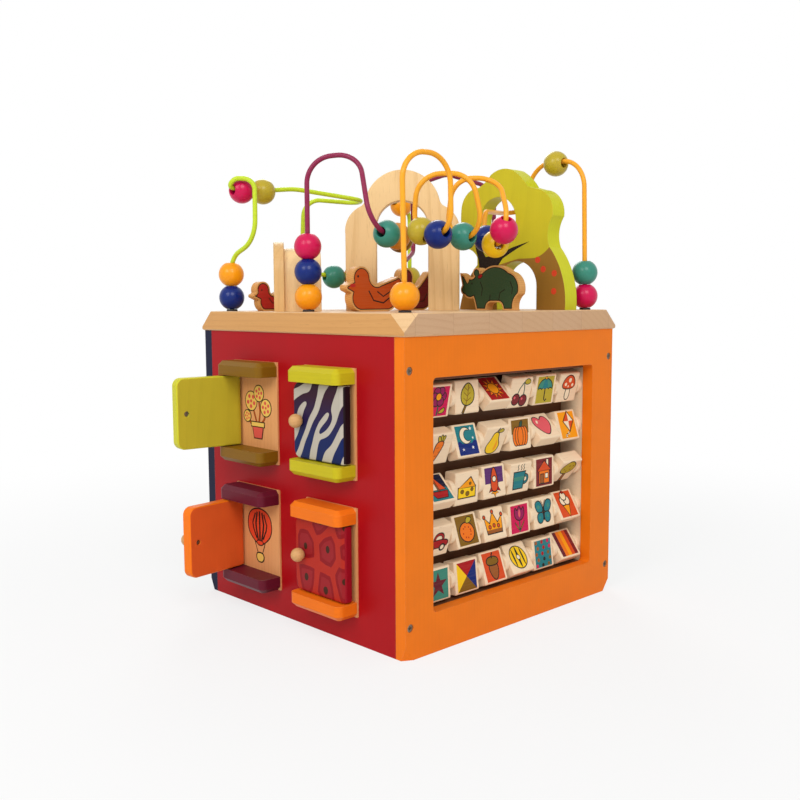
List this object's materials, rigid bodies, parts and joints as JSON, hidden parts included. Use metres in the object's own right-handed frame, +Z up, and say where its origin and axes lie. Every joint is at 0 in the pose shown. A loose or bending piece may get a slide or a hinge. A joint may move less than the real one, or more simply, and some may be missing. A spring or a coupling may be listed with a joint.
{
  "type": "activity cube",
  "caption": "Wooden activity cube with turning tiles, hinged doors, a sliding puck, a spinning wheel and a top board of bent wires, beads and standing figures.",
  "frame": {"origin": "on the floor under the middle of the square box", "axes": "+Z up; the tile side faces -Y, the door side faces -X, the track side faces +Y and the wheel side faces +X"},
  "size_m": [0.5016, 0.3905, 0.577],
  "materials": {
    "pine": "clear satin lacquer on natural softwood",
    "orange_paint": "satin paint on wood",
    "red_paint": "satin paint on wood",
    "navy_paint": "satin paint on wood",
    "lime_paint": "satin paint on wood",
    "olive_paint": "satin paint on wood",
    "tile_paint": "natural wood with painted faces",
    "bead_paint": "gloss lacquer in many colours on turned wood",
    "orange_wire_coat": "glossy coating on steel wire",
    "magenta_wire_coat": "glossy coating on steel wire",
    "lime_wire_coat": "glossy coating on steel wire",
    "screw_steel": "dark plated steel"
  },
  "bodies": {
    "box": {"base_board": "pine", "top_board": "pine", "tile_panel": "orange_paint", "door_panel": "red_paint", "track_panel": "navy_paint", "far_panel": "lime_paint", "tile_rack": "pine", "tile_rods": "pine", "tile_spacers": "pine", "door_boards": "pine", "door_rails": "olive_paint", "panel_screws": "screw_steel", "orange_wire": "orange_wire_coat", "magenta_wire": "magenta_wire_coat", "lime_wire": "lime_wire_coat", "arch": "pine", "tree": "lime_paint", "tunnel": "pine", "animal_cutouts": "pine", "loop_beads": "bead_paint"},
    "door_upper_far": {"door_upper_far": "lime_paint"},
    "door_lower_far": {"door_lower_far": "orange_paint"},
    "door_upper_near": {"door_upper_near": "navy_paint"},
    "door_lower_near": {"door_lower_near": "red_paint"},
    "corner_bead": {"corner_bead": "bead_paint"},
    "magenta_stack": {"magenta_stack": "bead_paint"},
    "right_stack": {"right_stack": "bead_paint"},
    "far_stack": {"far_stack": "bead_paint"},
    "track_slider": {"track_slider": "orange_paint"},
    "far_wheel": {"far_wheel": "olive_paint"},
    "tile_r1_c1": {"tile_r1_c1": "tile_paint"},
    "tile_r1_c2": {"tile_r1_c2": "tile_paint"},
    "tile_r1_c3": {"tile_r1_c3": "tile_paint"},
    "tile_r1_c4": {"tile_r1_c4": "tile_paint"},
    "tile_r1_c5": {"tile_r1_c5": "tile_paint"},
    "tile_r1_c6": {"tile_r1_c6": "tile_paint"},
    "tile_r2_c1": {"tile_r2_c1": "tile_paint"},
    "tile_r2_c2": {"tile_r2_c2": "tile_paint"},
    "tile_r2_c3": {"tile_r2_c3": "tile_paint"},
    "tile_r2_c4": {"tile_r2_c4": "tile_paint"},
    "tile_r2_c5": {"tile_r2_c5": "tile_paint"},
    "tile_r2_c6": {"tile_r2_c6": "tile_paint"},
    "tile_r3_c1": {"tile_r3_c1": "tile_paint"},
    "tile_r3_c2": {"tile_r3_c2": "tile_paint"},
    "tile_r3_c3": {"tile_r3_c3": "tile_paint"},
    "tile_r3_c4": {"tile_r3_c4": "tile_paint"},
    "tile_r3_c5": {"tile_r3_c5": "tile_paint"},
    "tile_r3_c6": {"tile_r3_c6": "tile_paint"},
    "tile_r4_c1": {"tile_r4_c1": "tile_paint"},
    "tile_r4_c2": {"tile_r4_c2": "tile_paint"},
    "tile_r4_c3": {"tile_r4_c3": "tile_paint"},
    "tile_r4_c4": {"tile_r4_c4": "tile_paint"},
    "tile_r4_c5": {"tile_r4_c5": "tile_paint"},
    "tile_r4_c6": {"tile_r4_c6": "tile_paint"},
    "tile_r5_c1": {"tile_r5_c1": "tile_paint"},
    "tile_r5_c2": {"tile_r5_c2": "tile_paint"},
    "tile_r5_c3": {"tile_r5_c3": "tile_paint"},
    "tile_r5_c4": {"tile_r5_c4": "tile_paint"},
    "tile_r5_c5": {"tile_r5_c5": "tile_paint"},
    "tile_r5_c6": {"tile_r5_c6": "tile_paint"}
  },
  "joints": [
    {"name": "door_upper_far_hinge", "type": "hinge", "parent": "box", "child": "door_upper_far", "pos_m": [-0.2, 0.108, 0.249], "axis": [0, 0, -1], "range_deg": [-98.5, 68.5]},
    {"name": "door_lower_far_hinge", "type": "hinge", "parent": "box", "child": "door_lower_far", "pos_m": [-0.2, 0.108, 0.094], "axis": [0, 0, -1], "range_deg": [-84.5, 82.5]},
    {"name": "door_upper_near_hinge", "type": "hinge", "parent": "box", "child": "door_upper_near", "pos_m": [-0.2, -0.1025, 0.249], "axis": [0, 0, 1], "range_deg": [-2, 165]},
    {"name": "door_lower_near_hinge", "type": "hinge", "parent": "box", "child": "door_lower_near", "pos_m": [-0.2, -0.1025, 0.094], "axis": [0, 0, 1], "range_deg": [-2, 165]},
    {"name": "corner_bead_slide", "type": "slide", "parent": "box", "child": "corner_bead", "axis": [-0.0116, 0.0116, 0.9999], "range_m": [0, 0.108]},
    {"name": "magenta_stack_slide", "type": "slide", "parent": "box", "child": "magenta_stack", "axis": [0, 0, 1], "range_m": [0, 0.058]},
    {"name": "right_stack_slide", "type": "slide", "parent": "box", "child": "right_stack", "axis": [-0.0263, 0.0053, 0.9996], "range_m": [0, 0.093]},
    {"name": "far_stack_slide", "type": "slide", "parent": "box", "child": "far_stack", "axis": [0, 0, 1], "range_m": [0, 0.068]},
    {"name": "track_slider_slide", "type": "slide", "parent": "box", "child": "track_slider", "axis": [1, 0, 0], "range_m": [-0.05, 0.17]},
    {"name": "far_wheel_spin", "type": "hinge", "parent": "box", "child": "far_wheel", "pos_m": [0.195, 0, 0.18], "axis": [1, 0, 0], "continuous": true},
    {"name": "tile_r1_c1_turn", "type": "hinge", "parent": "box", "child": "tile_r1_c1", "pos_m": [-0.1185, -0.1605, 0.2752], "axis": [1, 0, 0], "continuous": true},
    {"name": "tile_r1_c2_turn", "type": "hinge", "parent": "box", "child": "tile_r1_c2", "pos_m": [-0.0711, -0.1605, 0.2752], "axis": [1, 0, 0], "continuous": true},
    {"name": "tile_r1_c3_turn", "type": "hinge", "parent": "box", "child": "tile_r1_c3", "pos_m": [-0.0237, -0.1605, 0.2752], "axis": [1, 0, 0], "continuous": true},
    {"name": "tile_r1_c4_turn", "type": "hinge", "parent": "box", "child": "tile_r1_c4", "pos_m": [0.0237, -0.1605, 0.2752], "axis": [1, 0, 0], "continuous": true},
    {"name": "tile_r1_c5_turn", "type": "hinge", "parent": "box", "child": "tile_r1_c5", "pos_m": [0.0711, -0.1605, 0.2752], "axis": [1, 0, 0], "continuous": true},
    {"name": "tile_r1_c6_turn", "type": "hinge", "parent": "box", "child": "tile_r1_c6", "pos_m": [0.1185, -0.1605, 0.2752], "axis": [1, 0, 0], "continuous": true},
    {"name": "tile_r2_c1_turn", "type": "hinge", "parent": "box", "child": "tile_r2_c1", "pos_m": [-0.1185, -0.1605, 0.223], "axis": [1, 0, 0], "continuous": true},
    {"name": "tile_r2_c2_turn", "type": "hinge", "parent": "box", "child": "tile_r2_c2", "pos_m": [-0.0711, -0.1605, 0.223], "axis": [1, 0, 0], "continuous": true},
    {"name": "tile_r2_c3_turn", "type": "hinge", "parent": "box", "child": "tile_r2_c3", "pos_m": [-0.0237, -0.1605, 0.223], "axis": [1, 0, 0], "continuous": true},
    {"name": "tile_r2_c4_turn", "type": "hinge", "parent": "box", "child": "tile_r2_c4", "pos_m": [0.0237, -0.1605, 0.223], "axis": [1, 0, 0], "continuous": true},
    {"name": "tile_r2_c5_turn", "type": "hinge", "parent": "box", "child": "tile_r2_c5", "pos_m": [0.0711, -0.1605, 0.223], "axis": [1, 0, 0], "continuous": true},
    {"name": "tile_r2_c6_turn", "type": "hinge", "parent": "box", "child": "tile_r2_c6", "pos_m": [0.1185, -0.1605, 0.223], "axis": [1, 0, 0], "continuous": true},
    {"name": "tile_r3_c1_turn", "type": "hinge", "parent": "box", "child": "tile_r3_c1", "pos_m": [-0.1185, -0.1605, 0.1708], "axis": [1, 0, 0], "continuous": true},
    {"name": "tile_r3_c2_turn", "type": "hinge", "parent": "box", "child": "tile_r3_c2", "pos_m": [-0.0711, -0.1605, 0.1708], "axis": [1, 0, 0], "continuous": true},
    {"name": "tile_r3_c3_turn", "type": "hinge", "parent": "box", "child": "tile_r3_c3", "pos_m": [-0.0237, -0.1605, 0.1708], "axis": [1, 0, 0], "continuous": true},
    {"name": "tile_r3_c4_turn", "type": "hinge", "parent": "box", "child": "tile_r3_c4", "pos_m": [0.0237, -0.1605, 0.1708], "axis": [1, 0, 0], "continuous": true},
    {"name": "tile_r3_c5_turn", "type": "hinge", "parent": "box", "child": "tile_r3_c5", "pos_m": [0.0711, -0.1605, 0.1708], "axis": [1, 0, 0], "continuous": true},
    {"name": "tile_r3_c6_turn", "type": "hinge", "parent": "box", "child": "tile_r3_c6", "pos_m": [0.1185, -0.1605, 0.1708], "axis": [1, 0, 0], "continuous": true},
    {"name": "tile_r4_c1_turn", "type": "hinge", "parent": "box", "child": "tile_r4_c1", "pos_m": [-0.1185, -0.1605, 0.1186], "axis": [1, 0, 0], "continuous": true},
    {"name": "tile_r4_c2_turn", "type": "hinge", "parent": "box", "child": "tile_r4_c2", "pos_m": [-0.0711, -0.1605, 0.1186], "axis": [1, 0, 0], "continuous": true},
    {"name": "tile_r4_c3_turn", "type": "hinge", "parent": "box", "child": "tile_r4_c3", "pos_m": [-0.0237, -0.1605, 0.1186], "axis": [1, 0, 0], "continuous": true},
    {"name": "tile_r4_c4_turn", "type": "hinge", "parent": "box", "child": "tile_r4_c4", "pos_m": [0.0237, -0.1605, 0.1186], "axis": [1, 0, 0], "continuous": true},
    {"name": "tile_r4_c5_turn", "type": "hinge", "parent": "box", "child": "tile_r4_c5", "pos_m": [0.0711, -0.1605, 0.1186], "axis": [1, 0, 0], "continuous": true},
    {"name": "tile_r4_c6_turn", "type": "hinge", "parent": "box", "child": "tile_r4_c6", "pos_m": [0.1185, -0.1605, 0.1186], "axis": [1, 0, 0], "continuous": true},
    {"name": "tile_r5_c1_turn", "type": "hinge", "parent": "box", "child": "tile_r5_c1", "pos_m": [-0.1185, -0.1605, 0.0664], "axis": [1, 0, 0], "continuous": true},
    {"name": "tile_r5_c2_turn", "type": "hinge", "parent": "box", "child": "tile_r5_c2", "pos_m": [-0.0711, -0.1605, 0.0664], "axis": [1, 0, 0], "continuous": true},
    {"name": "tile_r5_c3_turn", "type": "hinge", "parent": "box", "child": "tile_r5_c3", "pos_m": [-0.0237, -0.1605, 0.0664], "axis": [1, 0, 0], "continuous": true},
    {"name": "tile_r5_c4_turn", "type": "hinge", "parent": "box", "child": "tile_r5_c4", "pos_m": [0.0237, -0.1605, 0.0664], "axis": [1, 0, 0], "continuous": true},
    {"name": "tile_r5_c5_turn", "type": "hinge", "parent": "box", "child": "tile_r5_c5", "pos_m": [0.0711, -0.1605, 0.0664], "axis": [1, 0, 0], "continuous": true},
    {"name": "tile_r5_c6_turn", "type": "hinge", "parent": "box", "child": "tile_r5_c6", "pos_m": [0.1185, -0.1605, 0.0664], "axis": [1, 0, 0], "continuous": true}
  ]
}
